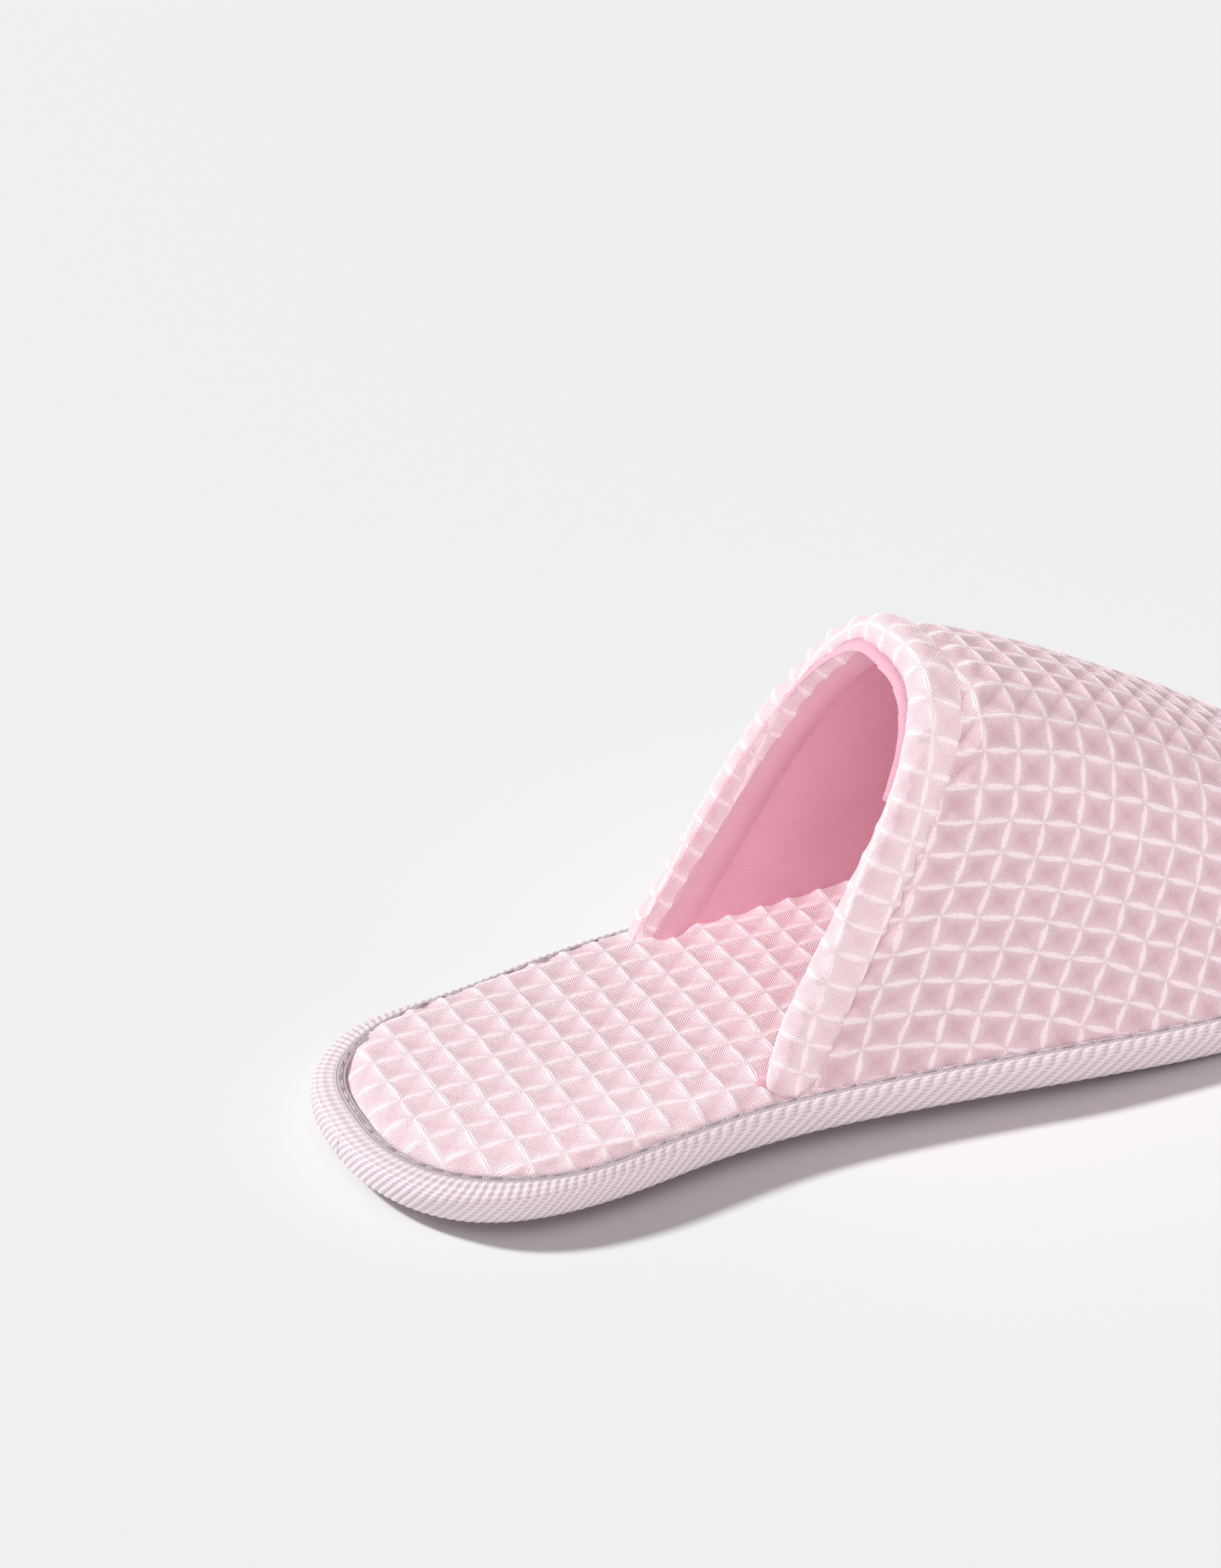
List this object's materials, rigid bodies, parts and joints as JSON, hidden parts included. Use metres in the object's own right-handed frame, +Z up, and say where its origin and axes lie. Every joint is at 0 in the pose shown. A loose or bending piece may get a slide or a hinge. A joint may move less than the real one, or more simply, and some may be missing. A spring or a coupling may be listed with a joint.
{
  "type": "spa slipper",
  "caption": "Open-back closed-toe padded spa slipper in waffle cloth, with a bound edge, a rolled foot opening and a foam sole; left foot.",
  "frame": {"origin": "centre of the slipper's footprint on the ground", "axes": "+X from heel to toe, +Y to the lateral (little toe) side, +Z up"},
  "size_m": [0.2751, 0.0976, 0.0924],
  "materials": {
    "outsole_foam": "matt moulded EVA foam with shallow cross grooves",
    "comfort_foam": "soft open-cell foam, hidden inside the cloth",
    "insole_waffle": "pale pink cotton waffle weave, matt",
    "upper_waffle": "pale pink cotton waffle weave, matt",
    "brushed_lining": "brushed rose pink knit, soft sheen",
    "twill_tape": "greyish pink twill tape with a darker ribbed selvedge",
    "sewing_thread": "spun polyester thread"
  },
  "bodies": {
    "root": {"outsole": "outsole_foam", "insole_foam": "comfort_foam", "insole_cover": "insole_waffle", "edge_binding": "twill_tape", "edge_binding_lap": "twill_tape", "edge_needle_thread": "sewing_thread", "edge_bobbin_thread": "sewing_thread", "upper_outer": "upper_waffle", "upper_padding": "comfort_foam", "upper_lining": "brushed_lining", "opening_binding": "upper_waffle", "opening_seam_thread": "sewing_thread"}
  },
  "joints": []
}
